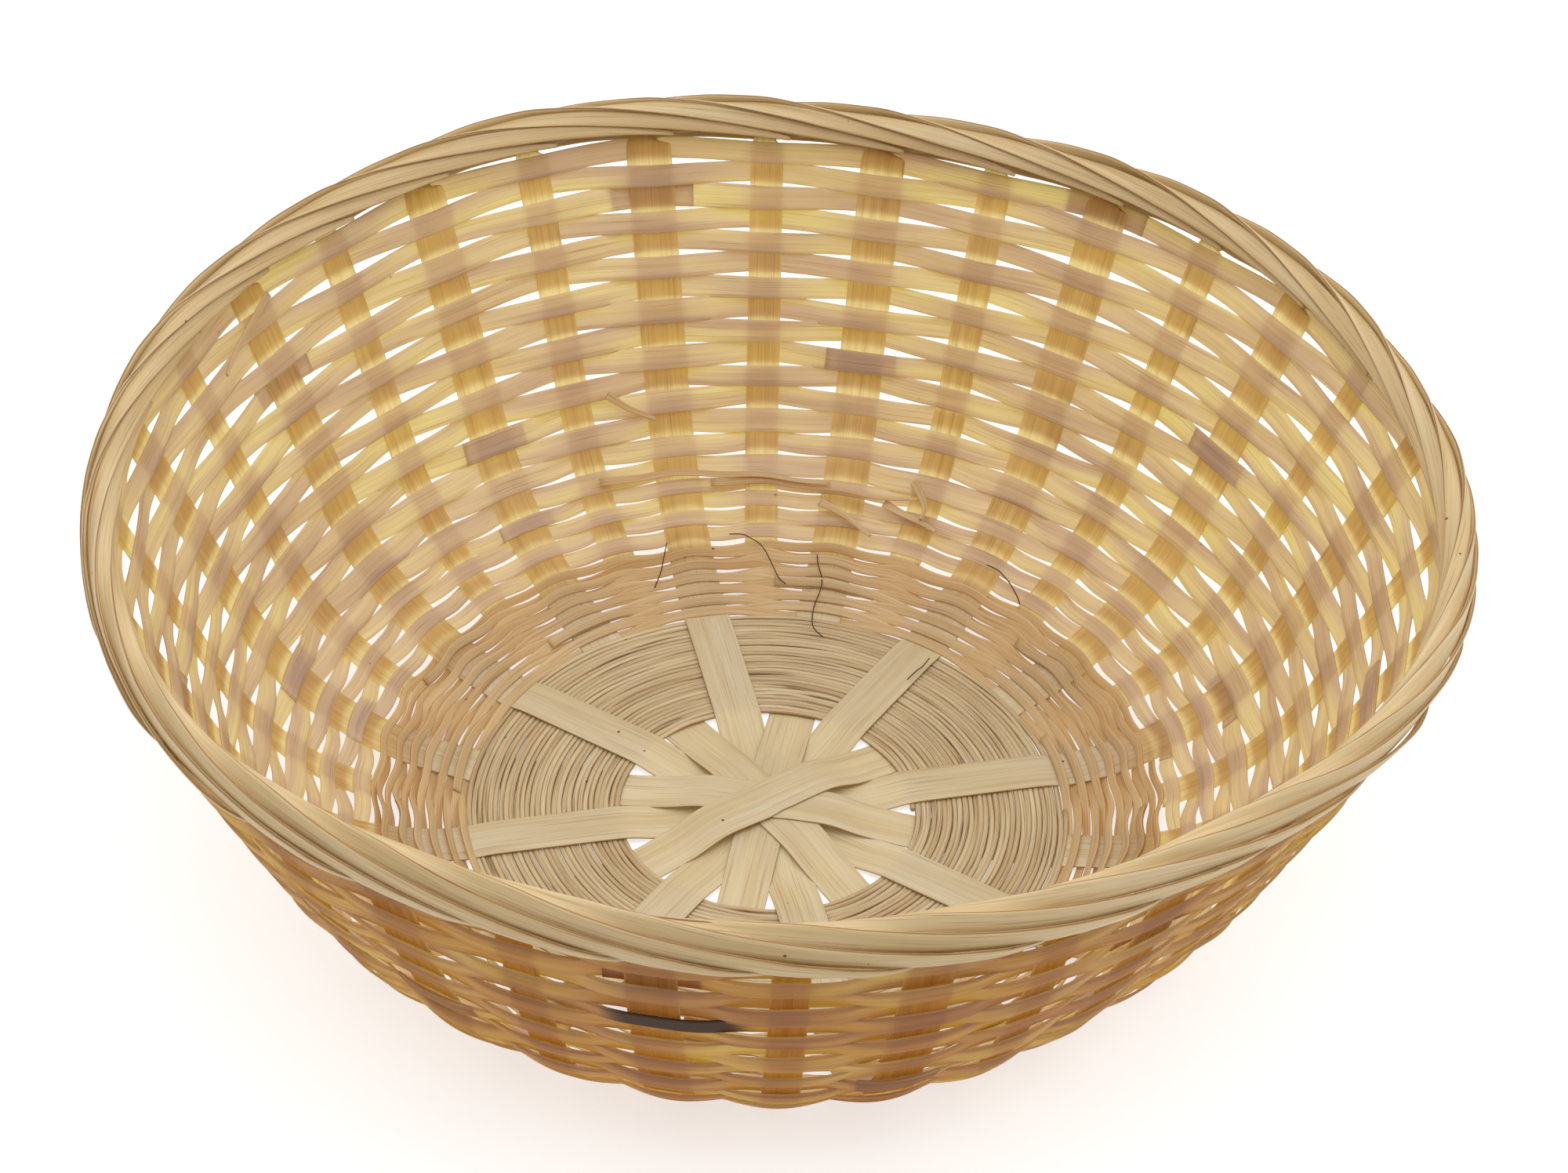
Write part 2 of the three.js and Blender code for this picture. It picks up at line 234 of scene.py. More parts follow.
def wallProfile(s):
    # Radius, height and steepness of the middle surface at a distance s from the centre along
    # it: level, then an arc, then straight.
    turn = np.clip((s - form["footRadius"]) / form["cornerRadius"], 0, cornerAngle)
    along = np.maximum(s - cornerEnd, 0)
    level = np.minimum(s, form["footRadius"])
    radius = level + form["cornerRadius"] * np.sin(turn) + along * np.cos(turn)
    height = form["footHeight"] + form["cornerRadius"] * (1 - np.cos(turn)) + along * np.sin(turn)
    return radius, height, turn


def stack(x, y, z):
    return np.stack(np.broadcast_arrays(x, y, z), axis=-1).astype(float)


def outward(angle):
    return stack(np.cos(angle), np.sin(angle), 0.0)


def pointAt(angle, radius, height):
    return stack(np.cos(angle) * radius, np.sin(angle) * radius, height)


def sideways(angle):
    return stack(-np.sin(angle), np.cos(angle), 0.0)


def upSlope(angle, turn):
    # along the middle surface, away from the centre
    return stack(np.cos(angle) * np.cos(turn), np.sin(angle) * np.cos(turn), np.sin(turn))


def inwardNormal(angle, turn):
    return stack(-np.cos(angle) * np.sin(turn), -np.sin(angle) * np.sin(turn), np.cos(turn))


def unit(v):
    return v / np.linalg.norm(v, axis=-1, keepdims=True)


def column(values):
    return np.asarray(values, float)[:, None]


def wander(angle, wobble, piece=0):
    # A smooth wobble that closes on itself round the bowl: cosines of one, two and more waves
    # to a round, each of random height and phase. A wobble is its first seed, its waves and its
    # size, which is the standard deviation. The seed moves on with the piece, so that each has
    # a wobble of its own.
    seed, waves, size = wobble
    dice = np.random.default_rng(seed + piece)
    total = np.zeros_like(angle, dtype=float)
    for n in range(1, waves + 1):
        total += dice.normal() * np.cos(n * angle + dice.uniform(0, turnRound))
    return size * total / np.sqrt(waves / 2)


def rounded(values, reach):
    # a moving average along the first axis, mirrored at both ends so that they stay in place
    window = np.hanning(2 * reach + 3)[1:-1]
    window /= window.sum()
    before = 2 * values[:1] - values[reach:0:-1]
    after = 2 * values[-1:] - values[-2 : -reach - 2 : -1]
    padded = np.concatenate([before, values, after])
    parts = [np.convolve(part, window, "valid") for part in padded.T]
    return np.stack(parts, axis=-1)


def roundedLine(values, reach):
    return rounded(values[:, None], reach)[:, 0]


def frontness(angle, power):
    # 1 at the front of the bowl, falling to 0 at its back, the faster the higher the power
    return ((1 - np.sin(angle)) / 2) ** power


# Carrying a splint's section along a path

section = {
    "edgePoints": 5,  # round each edge of a splint
    "inner": 0.6,  # where the flats have a point more, as a share of half the width
    "floorGap": 0.02,  # mm
    "skinAndShade": (1.4, 0.4),  # the skin side starts a little past the edge and is soon full; its darker tone is partly painted shade
    "edge": (4, 3),  # only the last quarter of the rounding counts as edge
}


grainStart = {
    # for each kind, how far along the first piece's grain starts, in mm, and the step from one
    # piece to the next, so that no two show the same stretch of it
    "strip": (0, 400.0),
    "side": (5000, 300.0),
    "ribbon": (0, 900.0),
    "twined": (2e4, 700.0),
    "splinter": (5e4, 900.0),
    "coil": (6e4, 0),
}


def grainAt(kind, index):
    start, apart = grainStart[kind]
    return start + apart * index


def splintSection():
    # side of the middle, cosine and sine round the edge, for each point going once round
    count = section["edgePoints"]
    inner = section["inner"]
    swing = np.linspace(-np.pi / 2, np.pi / 2, count)
    side = np.concatenate([np.ones(count), [inner, -inner], -np.ones(count), [-inner, inner]])
    cosine = np.concatenate([np.cos(swing), [0, 0], -np.cos(swing), [0, 0]])
    sine = np.concatenate([np.sin(swing), [1, 1], -np.sin(swing), [-1, -1]])
    return side, cosine, sine


def sweep(name, centre, across, width, thickness, material, facing, marks=None, slide=0.0):
    # A closed splint. Its middle line is centre; across is the way of its width, squared up to
    # the path; the thickness goes the third way, on the side of facing. Each section is two
    # half circles joined by flats. UV is metres along and metres across, and slide moves the
    # grain along. Marks are attributes with one value for each station.
    count = len(centre)
    heading = unit(np.gradient(centre, axis=0))
    across = across - (across * heading).sum(-1, keepdims=True) * heading
    across = unit(across)
    through = unit(np.cross(heading, across))
    through *= np.sign((through * facing).sum(-1, keepdims=True))
    side, cosine, sine = splintSection()
    ringSize = len(side)
    width = np.broadcast_to(np.asarray(width, float), (count,))[:, None]
    thickness = np.broadcast_to(np.asarray(thickness, float), (count,))[:, None]
    sideShift = side * (width - thickness) / 2 + cosine * thickness / 2
    throughShift = sine * thickness / 2
    points = centre[:, None, :] + sideShift[..., None] * across[:, None, :]
    points = points + throughShift[..., None] * through[:, None, :]
    # no part of it lies under the floor
    points[..., 2] += np.maximum(0, section["floorGap"] - points[..., 2].min(axis=1))[:, None]
    points = settle(points.reshape(-1, 3)) * mm
    ring = np.arange(ringSize)
    nextRing = np.roll(ring, -1)
    start = (np.arange(count - 1) * ringSize)[:, None]
    near, far = start + ring, start + nextRing
    quads = np.stack([near, far, far + ringSize, near + ringSize], -1).reshape(-1, 4)
    along = np.concatenate([[0], np.cumsum(np.linalg.norm(np.diff(centre, axis=0), axis=-1))])
    uvPoint = np.stack(np.broadcast_arrays(along[:, None] + slide, sideShift), -1).reshape(-1, 2) * mm
    lowCap = ring[::-1]
    highCap = (count - 1) * ringSize + ring
    a, b, c, d = (points[quads[:, i]] for i in range(4))
    volume = (np.cross(b - a, c - a) * a).sum() + (np.cross(c - a, d - a) * a).sum()
    if volume < 0:
        quads = quads[:, ::-1]
        lowCap = lowCap[::-1]
        highCap = highCap[::-1]
    mesh = bpy.data.meshes.new(name)
    mesh.from_pydata(points, [], quads.tolist() + [lowCap.tolist(), highCap.tolist()])
    corners = np.concatenate([quads.reshape(-1), lowCap, highCap])
    layer = mesh.uv_layers.new(name="grain")
    layer.data.foreach_set("uv", uvPoint[corners].reshape(-1))
    # the bamboo's skin is the side away from facing; on the wall that is the outside, and its darker
    # tone there is partly painted shade
    (skinGain, skinLoss), (edgeGain, edgeLoss) = section["skinAndShade"], section["edge"]
    marked = {
        "skinAndShade": np.tile(np.clip(-skinGain * sine - skinLoss, 0, 1), count),
        "edge": np.tile(np.clip(edgeGain * np.abs(cosine) - edgeLoss, 0, 1), count),
    }
    for key, values in (marks or {}).items():
        marked[key] = np.repeat(values, ringSize)
    for key, values in marked.items():
        mark = mesh.attributes.new(key, "FLOAT", "POINT")
        mark.data.foreach_set("value", values.astype(np.float32))
    mesh.polygons.foreach_set("use_smooth", np.ones(len(mesh.polygons), bool))
    mesh.materials.append(material)
    mesh.update()
    piece = bpy.data.objects.new(name, mesh)
    bpy.context.collection.objects.link(piece)
    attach(piece, "root")
    return piece


def standFor(node):
    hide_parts(node)


settling = {
    # how far the front has gone in, square to the wall, at each height
    "frontHeight": [0, 5, 15, 39, 47, 56, 64, 70, 78, 90],
    "frontIn": [0, -0.6, -1.1, -1.0, -0.5, 0.4, 2.0, 3.2, 3.6, 3.7],
    "frontPower": 3,  # the higher, the narrower the front
    "sidesFrom": 42.0,  # height at which the sides start to lean out
    "sidesFull": 78.0,
    "sidesPower": 1.5,
    "sidesMost": 1.3,  # where the lean stops to grow, as a share of the way to sidesFull
    "left": 0.6,  # mm outward at sidesFull
    "right": 1.6,
    # places where the bowl stands out or in: degrees round it, spread in degrees, mm outward,
    # and the heights between which the bulge grows
    "bulges": [
        (112, 10, 2.6, 22, 78),
        (74, 13, -2.8, 22, 78),
        (213, 14, 2.2, 22, 78),
        (165, 14, -1.0, 22, 78),
        (307, 14, -3.4, 2, 22),
        (15, 13, -1.4, 22, 78),
    ],
    "ripple": 0.55,  # how far the foot of the wall stands out at each stake
    "rippleTop": 50.0,  # height at which that has gone
    "rippleFrom": 62,  # radius at which it starts, and over how much it grows
    "rippleOver": 8,
}


def settle(points):
    # The real bowl has gone a little out of round: its front stands steeper, its sides lean out
    # and it bulges at places. The shift grows smoothly with height and swings round the bowl.
    c = settling
    angle = np.arctan2(points[:, 1], points[:, 0])
    height = points[:, 2]
    climb = (height - c["sidesFrom"]) / (c["sidesFull"] - c["sidesFrom"])
    climb = np.clip(climb, 0, c["sidesMost"]) ** c["sidesPower"]
    front = frontness(angle, c["frontPower"]) * np.interp(height, c["frontHeight"], c["frontIn"])
    aside = np.where(np.cos(angle) > 0, c["right"], c["left"]) * np.cos(angle) ** 2 * climb
    for middle, spread, size, low, top in c["bulges"]:
        grow = np.clip((height - low) / (top - low), 0, 1)
        off = (np.degrees(angle) - middle + 180) % 360 - 180
        aside = aside + size * grow * np.exp(-((off / spread) ** 2) / 2)
    lean = np.radians(form["wallLean"])
    ripple = c["ripple"] * np.cos(form["stakes"] * angle) * np.clip(1 - height / c["rippleTop"], 0, 1)
    ripple *= np.clip((np.hypot(points[:, 0], points[:, 1]) - c["rippleFrom"]) / c["rippleOver"], 0, 1)
    away = (aside + ripple - front * np.cos(lean))[:, None] * outward(angle)
    away[:, 2] = front * np.sin(lean)
    return points + away


# Bamboo


def makeBamboo(name, look):
    # Split bamboo, drawn through a knife and left unpainted: long fibres of uneven tone, a satin face, a
    # browner skin side and rough, browner edges, both darkened further with painted shade, and painted
    # shade on the light through the bowl's front. Light goes through a thin splint and comes out golden,
    # and mauve where two lie on each other.
    material, tree = newMaterial(name)
    uv = addNode(tree, "ShaderNodeUVMap", uv_map="grain")
    place = addNode(tree, "ShaderNodeTexCoord").outputs["Object"]

    def mark(key):
        return addNode(tree, "ShaderNodeAttribute", attribute_name=key).outputs["Fac"]

    def streaks(length, breadth, detail):
        spread = addNode(
            tree,
            "ShaderNodeMapping",
            {"Scale": (1 / (length * mm), 1 / (breadth * mm), 1)},
            {"Vector": uv.outputs[0]},
        )
        return addNode(
            tree,
            "ShaderNodeTexNoise",
            {"Scale": 1.0, "Detail": detail, "Roughness": look["streakRoughness"]},
            {"Vector": spread.outputs[0]},
        ).outputs["Fac"]

    fibre = streaks(*look["fibres"])
    band = streaks(*look["bands"])
    patch = streaks(*look["patches"])

    def ramp(source, stops):
        node = addNode(tree, "ShaderNodeValToRGB", links={"Fac": source})
        node.color_ramp.elements[0].position = stops[0][0]
        node.color_ramp.elements[0].color = colour(stops[0][1])
        node.color_ramp.elements[1].position = stops[-1][0]
        node.color_ramp.elements[1].color = colour(stops[-1][1])
        for spot, code in stops[1:-1]:
            node.color_ramp.elements.new(spot).color = colour(code)
        return node.outputs[0]

    def blend(kind, amount, a, b):
        node = addNode(tree, "ShaderNodeMix", data_type="RGBA", blend_type=kind)
        if isinstance(amount, float):
            node.inputs[0].default_value = amount
        else:
            tree.links.new(amount, node.inputs[0])
        for socket, index in ((a, 6), (b, 7)):
            if isinstance(socket, str):
                node.inputs[index].default_value = colour(socket)
            else:
                tree.links.new(socket, node.inputs[index])
        return node.outputs[2]

    tailed = "tailTone" in look
    stained = "stain" in look
    tone = ramp(patch, look["tones"])
    if tailed:
        climb = mark("climb")
        tail = mark("tail")
        tone = blend("MIX", climb, tone, ramp(patch, look["wallTones"]))
    dark, clear = look["fibreStops"]
    fibreTone = ramp(fibre, [(dark, look["fibreDark"]), (clear, "FFFFFF"), (1.0, "FFFFFF")])
    dark, clear = look["bandStops"]
    bandTone = ramp(band, [(dark, look["bandDark"]), (clear, "FFFFFF")])
    surfaceTone = blend("MULTIPLY", look["fibreShow"], tone, fibreTone)
    surfaceTone = blend("MULTIPLY", look["bandShow"], surfaceTone, bandTone)

    # painted shade: the skin side, which is the outside of the wall, is darkened partly for the skin's
    # own brown and partly for the shade the outside stands in
    skinAndShade = mark("skinAndShade")
    if tailed:
        wall = addNode(tree, "ShaderNodeMath", {0: 1.0}, {1: tail}, operation="SUBTRACT").outputs[0]
        skinAndShade = addNode(tree, "ShaderNodeMath", links={0: skinAndShade, 1: wall}, operation="MULTIPLY").outputs[0]
    surfaceTone = blend("MULTIPLY", skinAndShade, surfaceTone, look["skinAndShade"])
    # painted shade: the rounded edges are darkened, partly for their own brown and partly for the shade
    # in the grooves between splints
    surfaceTone = blend("MULTIPLY", mark("edge"), surfaceTone, look["edgeToneAndShade"])

    # small brown specks, one here and there
    cells = addNode(
        tree,
        "ShaderNodeTexVoronoi",
        {"Scale": 1 / (look["speckSpacing"] * mm), "Randomness": 1.0},
        {"Vector": place},
    )
    near = addNode(
        tree,
        "ShaderNodeMath",
        {1: look["speckRadius"]},
        {0: cells.outputs["Distance"]},
        operation="LESS_THAN",
    )
    surfaceTone = blend("MIX", near.outputs[0], surfaceTone, look["speckTone"])
    if tailed:
        surfaceTone = blend("MULTIPLY", tail, surfaceTone, look["tailTone"])

    bumps = addNode(
        tree,
        "ShaderNodeBump",
        {"Strength": look["relief"], "Distance": look["reliefDepth"] * mm},
        {"Height": fibre},
    )
    low, high = look["sheenRange"]
    rough, smooth = look["roughness"]
    sheen = addNode(
        tree,
        "ShaderNodeMapRange",
        {"From Min": low, "From Max": high, "To Min": rough, "To Max": smooth},
        {"Value": band},
    )
    # the light that comes through, golden, with the fibres as darker lines
    throughTone = ramp(patch, look["throughTones"])
    throughTone = blend("MULTIPLY", look["fibreShow"] * look["fibreThrough"], throughTone, fibreTone)
    throughTone = blend("MULTIPLY", look["bandShow"], throughTone, bandTone)
    # painted shade: the light through the bowl's front is dimmed, for the shade that front stands in
    throughTone = blend("MULTIPLY", mark("frontShade"), throughTone, look["frontShade"])
    if stained:
        stain = mark("stain")
        surfaceTone = blend("MIX", stain, surfaceTone, look["stain"])
        throughTone = blend("MIX", stain, throughTone, look["stainThrough"])
    surface = addNode(
        tree,
        "ShaderNodeBsdfPrincipled",
        {"IOR": look["ior"], "Specular IOR Level": look["gloss"]},
        {"Base Color": surfaceTone, "Roughness": sheen.outputs[0], "Normal": bumps.outputs[0]},
    )
    glow = addNode(tree, "ShaderNodeBsdfTranslucent", links={"Color": throughTone})
    both = addNode(
        tree,
        "ShaderNodeMixShader",
        {0: look["through"]},
        {1: surface.outputs[0], 2: glow.outputs[0]},
    )
    if tailed:
        # thin on the wall, thick in the rim
        share = addNode(
            tree,
            "ShaderNodeMath",
            {1: look["wallThrough"] - look["through"], 2: look["through"]},
            {0: climb},
            operation="MULTIPLY_ADD",
        )
        share = addNode(
            tree,
            "ShaderNodeMath",
            {1: look["tailThrough"] - look["through"]},
            {0: tail, 2: share.outputs[0]},
            operation="MULTIPLY_ADD",
        )
        tree.links.new(share.outputs[0], both.inputs[0])
    addNode(tree, "ShaderNodeOutputMaterial", links={"Surface": both.outputs[0]})
    return material


common = {
    # the streaks' length and breadth in mm and the detail of their noise, their darkest tone
    # and how far they show
    "fibres": (22.0, 0.28, 4.0),
    "fibreDark": "B99A6C",
    "fibreShow": 0.65,
    "fibreThrough": 0.6,  # share of that in the light that comes through
    "fibreStops": (0.30, 0.46),  # of the noise, where the dark is full and where it ends
    "bands": (60.0, 1.1, 2.0),
    "bandDark": "D9BE92",
    "bandShow": 0.3,
    "bandStops": (0.3, 0.62),
    "patches": (45.0, 6.0, 1.0),
    "streakRoughness": 0.6,
    "skinAndShade": "A4876A",  # the skin side is multiplied by this, for the skin's own brown and for painted shade on the bowl's outside
    "edgeToneAndShade": "D4B68C",  # and the edges by this, for their own brown and for painted shade in the grooves between splints
    "frontShade": "F5E5CE",  # and the light through the bowl's front by this, as painted shade
    "speckSpacing": 9.0,
    "speckRadius": 0.034,  # as a share of the spacing
    "speckTone": "6E4E30",
    "relief": 0.5,
    "reliefDepth": 0.06,
    "roughness": (0.6, 0.42),  # from the darker bands to the paler
    "sheenRange": (0.3, 0.7),  # of the bands' noise, between those two
    "gloss": 0.5,
    "ior": 1.5,
    "through": 0.68,  # share of the light that goes through each face of a splint
    "throughTones": [(0.36, "ECD6B0"), (0.5, "F8E7B0"), (0.64, "FFF3A6")],
}
# split with a knife and left flat: pale in the base, thinner on the wall, brown at its edges, partly its
# own brown and partly painted shade in the grooves between splints
stripBamboo = makeBamboo(
    "split_bamboo_strip",
    {
        **common,
        "tones": [(0.3, "E2D0A6"), (0.5, "E7D7B2"), (0.7, "EBDEC0")],
        "wallTones": [(0.3, "F6DEC2"), (0.5, "F8E4CE"), (0.7, "FAE9DA")],
        "throughTones": [(0.36, "FCF3C6"), (0.5, "FEF5C8"), (0.64, "FFF7CA")],
        "edgeToneAndShade": "9C7048",
        "tailTone": "F4E8D4",
        "through": 0.3,
        "wallThrough": 0.84,
        "tailThrough": 0.12,
    },
)
# shaved thin and smooth, so that it shines and lets the light through
ribbonBamboo = makeBamboo(
    "shaved_bamboo_ribbon",
    {
        **common,
        "tones": [(0.3, "F0E2D2"), (0.5, "F2E8E0"), (0.7, "F4ECE8")],
        "gloss": 1.0,
        "stain": "6B3F1C",  # the burnt patch
        "stainThrough": "3A2C20",
    },
)
# shaved by hand and left rough, so that it looks more orange against the light
twinedBamboo = makeBamboo(
    "shaved_bamboo_strand",
    {
        **common,
        "tones": [(0.3, "E8CE98"), (0.7, "F0E0B8")],
        "throughTones": [(0.36, "F0C884"), (0.5, "F6D48C"), (0.64, "FADD94")],
        "through": 0.45,
    },
)
# torn to a fine strand: long dark fibres, and hardly any light through
coilBamboo = makeBamboo(
    "fine_bamboo_strand",
    {
        **common,
        "tones": [(0.3, "C6AC82"), (0.7, "E4D4B0")],
        # partly the strand's own brown and partly painted shade in the gaps between the loops
        "edgeToneAndShade": "C8A87C",
        "fibreDark": "94734A",
        "fibreShow": 0.9,
        "through": 0.2,
    },
)
print("bamboo finishes made")


# Stakes: each long strip crosses the base, climbs the wall twice and ends in the rim

strips = {
    "width": 9.0,
    "sideWidth": 6.6,
    "thickness": 0.5,
    "pile": [1, 7, 2, 4, 3, 5, 0, 6],  # order in the pile at the centre, from the floor up
    "baseReach": 58.5,  # from the centre to where a strip joins the wall's surface
    "sideStart": 75.5,  # the same for the start of a side stake
    "step": 1.1,  # between stations
    "smoothing": 3,  # stations to each side
    "slowSmoothing": 6,
    # where a strip takes the wall's thinner look: height and radius, and over how much each
    "wallHeight": (1.6, 3),
    "wallRadius": (58, 4),
    "frontShading": 0.6,  # how much painted shade its front gets, against the ribbons
    # first seeds of both halves of a cross strip and of the side stakes
    "nearSeed": 200,
    "farSeed": 220,
    "sideSeed": 240,
}
# a strip's height at each distance from the centre; the first two heights follow from the pile
overLie = {
    "reach": [0, 10.5, 18, 22, 27.5, 54, 58.5],
    "height": [0, 0, 0.62, 0.75, 1.95, 2.0, 1.25],
}
underLie = {
    "reach": [0, 12.5, 19, 22, 27, 54, 58.5],
    "height": [0, 0, 1.35, 1.0, 0.25, 0.25, 1.25],
}
rim = {
    "bendStart": 159.0,
    "bendRadius": 2.0,
    "bendStations": 6,
    # Along a tail: how many stake spacings it has gone from its own stake, the radius and height
    # of its free edge, and the radius and height of the edge that the next tail covers.
    "tail": [
        (0, 122.6, 73.0, 121.9, 71.9),
        (0.25, 123.9, 73.1, 122.9, 71.8),
        (0.5, 124.8, 74.0, 123.5, 71.7),
        (1, 125.0, 75.8, 123.0, 71.8),
        (1.5, 124.9, 77.7, 123.4, 73.3),
        (2, 124.5, 79.5, 123.8, 75.0),
        (2.5, 123.7, 81.1, 123.9, 76.7),
        (3, 122.2, 82.2, 123.7, 78.2),
        (3.5, 120.6, 81.5, 123.3, 79.4),
        (4, 119.4, 79.9, 122.4, 80.6),
        (4.5, 118.7, 78.3, 121.3, 80.9),
        (5, 118.4, 76.9, 120.6, 79.9),
        (5.5, 118.4, 75.7, 120.0, 78.8),
        (6.2, 118.8, 74.6, 119.2, 75.4),
    ],
    "tailStart": 0.12,
    "mostThickness": 0.6,  # as a share of the tail's width
    "wideThickness": 0.78,
    "sideThickness": 0.68,
    "unevenRadius": (0, 3, 0.12),  # wobbles: first seed, waves and size
    "unevenHeight": (1, 3, 0.22),
}


def stakePath(angle, lie, level, wide, seed):
    # From the centre of the base, or from low on the wall, to the end of the tail: the middle
    # line, the way of the width, the side that faces in, the width, the thickness and whether
    # it is tail.
    step = strips["step"]
    parts = []
    if lie is not None:
        reach = np.arange(0, strips["baseReach"], step)
        here = np.full_like(reach, angle)
        knots = np.array(lie["height"], float)
        knots[:2] = strips["thickness"] * (0.5 + level)
        centre = pointAt(here, reach, np.interp(reach, lie["reach"], knots))
        parts.append((centre, sideways(here), stack(0 * reach, 0 * reach, 1.0)))
        start = strips["baseReach"]
    else:
        start = strips["sideStart"]
    s = np.arange(start, rim["bendStart"], step)
    radius, height, turn = wallProfile(s)
    here = np.full_like(s, angle)
    parts.append((pointAt(here, radius, height), sideways(here), inwardNormal(here, turn)))
    # the bend, a quarter circle in the plane of the wall towards the clockwise side
    bend = rim["bendRadius"]
    swing = np.linspace(0, np.pi / 2, rim["bendStations"])
    radius, height, turn = wallProfile(rim["bendStart"] + bend * np.sin(swing))
    here = angle - bend * (1 - np.cos(swing)) / radius
    way = sideways(here) * column(np.cos(swing)) + upSlope(here, turn) * column(np.sin(swing))
    parts.append((pointAt(here, radius, height), way, inwardNormal(here, turn)))
    # The tail, which lies round the edge as one strand of a rope: up the outside, over the crest
    # and down the inside. Its width runs from its held edge to its free edge.
    spacing = stakeAngle * radius[-1]
    knots, *edges = zip(*rim["tail"])
    travel = np.arange(rim["tailStart"], knots[-1], step / spacing)
    aside = wander(travel, rim["unevenRadius"], seed)
    lift = wander(travel, rim["unevenHeight"], seed)
    edges = [np.interp(travel, knots, edge) for edge in edges]
    free = edges[0] + aside, edges[1] + lift
    held = edges[2] + aside, edges[3] + lift
    here = angle - travel * stakeAngle
    out, up = free[0] - held[0], free[1] - held[1]
    middle = pointAt(here, (free[0] + held[0]) / 2, (free[1] + held[1]) / 2)
    parts.append((middle, pointAt(here, out, up), pointAt(here, -up, out)))
    tailWidth = np.hypot(out, up)
    tailThickness = rim["sideThickness"] if lie is None else rim["wideThickness"]
    centre, way, facing = (np.concatenate([p[i] for p in parts]) for i in range(3))
    width = np.full(len(centre), wide)
    thickness = np.full(len(centre), strips["thickness"])
    tail, bend = len(travel), len(swing)
    width[-tail:] = tailWidth
    width[-tail - bend : -tail] = np.linspace(wide, tailWidth[0], bend)
    thickness[-tail:] = np.minimum(tailThickness, rim["mostThickness"] * tailWidth)
    thickness[-tail - bend : -tail] = np.linspace(strips["thickness"], tailThickness, bend)
    isTail = np.zeros(len(centre))
    isTail[-tail:] = 1
    return centre, way, facing, width, thickness, isTail


def layStake(node, path, slide):
    # rounds off the corners of the path and says where it is tail, wall and front with painted shade
    centre, way, facing, width, thickness, isTail = path
    near, far = strips["smoothing"], strips["slowSmoothing"]
    tail = np.clip(roundedLine(isTail, far), 0, 1)
    low, over = strips["wallHeight"]
    climb = np.clip((centre[:, 2] - low) / over, 0, 1)
    low, over = strips["wallRadius"]
    climb *= np.clip((np.hypot(centre[:, 0], centre[:, 1]) - low) / over, 0, 1)
    climb *= 1 - tail
    # painted shade on the bowl's front, on the wall only
    front = frontness(np.arctan2(centre[:, 1], centre[:, 0]), form["frontShadePower"])
    frontShade = strips["frontShading"] * climb * front
    piece = sweep(
        f"bamboo_{node}",
        rounded(centre, near),
        rounded(way, near),
        roundedLine(width, near),
        roundedLine(thickness, far),
        stripBamboo,
        rounded(facing, near),
        {"tail": tail, "climb": climb, "frontShade": frontShade},
        slide,
    )
    standFor(node)


for index, level in enumerate(strips["pile"]):
    word, lie = (("over", overLie), ("under", underLie))[index % 2]
    place = stakeAngle * (1 + 2 * index)
    near = stakePath(place, lie, level, strips["width"], strips["nearSeed"] + index)
    far = stakePath(place + np.pi, lie, level, strips["width"], strips["farSeed"] + index)
    far = [part[:0:-1] for part in far]
    far[1] = -far[1]
    whole = [np.concatenate([a, b]) for a, b in zip(far, near)]
    layStake(f"cross_strip_{word}_{index // 2 + 1:02d}", whole, grainAt("strip", index))
for index in range(wideStakes):
    seed = strips["sideSeed"] + index
    path = stakePath(stakeAngle * 2 * index, None, 0, strips["sideWidth"], seed)
    layStake(f"side_stake_{index + 1:02d}", path, grainAt("side", index))
print("stakes and rim made")


# Ribbons woven round the wall

ribbons = {
    "offset": 0.68,
    "thickness": 0.42,
    "grip": 1.5,  # how squarely a ribbon takes each stake
    "perStake": 14,  # stations
    "lap": 0.36,  # of a spacing, to each side of the stake at the lap
    "lapRise": (31.2, 0.5),  # spacings from the start to where the end rises, and over how many
    "lapGap": 0.05,
    "sag": 0.5,  # how far a ribbon slips down where it passes inside a stake, and up outside
    "sagShape": 0.99,  # 1 turns sharply at each stake
    # wobbles: first seed, waves and size
    "drift": (7, 5, 0.22),  # up and down, of all ribbons together
    "ownDrift": (0, 9, 0.14),
    "twist": (50, 12, 3.0),  # degrees
    "unevenWidth": (90, 8, 0.055),  # as a share
    # how unevenly the painted shade on the front falls
    "unevenFrontShade": (130, 16, 0.35),
    "frontWidening": 0.19,
    "lapSpread": 7,  # wide stakes between the lap of one row and that of the next
    # count, first row's distance from the centre along the wall, pitch, width and first seed
    "low": (4, 78.2, 3.45, 3.2, 20),
    "wall": (15, 92.5, 4.614, 4.48, 30),
}
burn = {"row": 10, "middle": 260.5, "reach": 6.6, "fade": 2.4}  # angles in degrees


def weave(travel, side, lapAt):
    # A cosine through the stakes, flattened where the ribbon lies on each. The last part is
    # pushed out by one thickness so that it lies over the ribbon's own start.
    wave = np.cos(np.pi * travel)
    shape = np.tanh(ribbons["grip"] * wave) / np.tanh(ribbons["grip"])
    start, over = ribbons["lapRise"]
    extra = np.clip((travel - (lapAt + start)) / over, 0, 1)
    return side * shape * (ribbons["offset"] + extra * (ribbons["thickness"] + ribbons["lapGap"]))


def burnt(travel):
    # 1 in the middle of the burnt patch, fading to 0 at both ends
    away = np.abs((np.degrees(travel * stakeAngle) - burn["middle"] + 180) % 360 - 180)
    return np.clip((burn["reach"] - away) / burn["fade"], 0, 1)


def ringTravel(lapAt, lap, perStake):
    # stake spacings from the lap round to it again, with the lap added at both ends
    count = int((form["stakes"] + 2 * lap) * perStake) + 1
    return np.linspace(lapAt - lap, lapAt + form["stakes"] + lap, count)


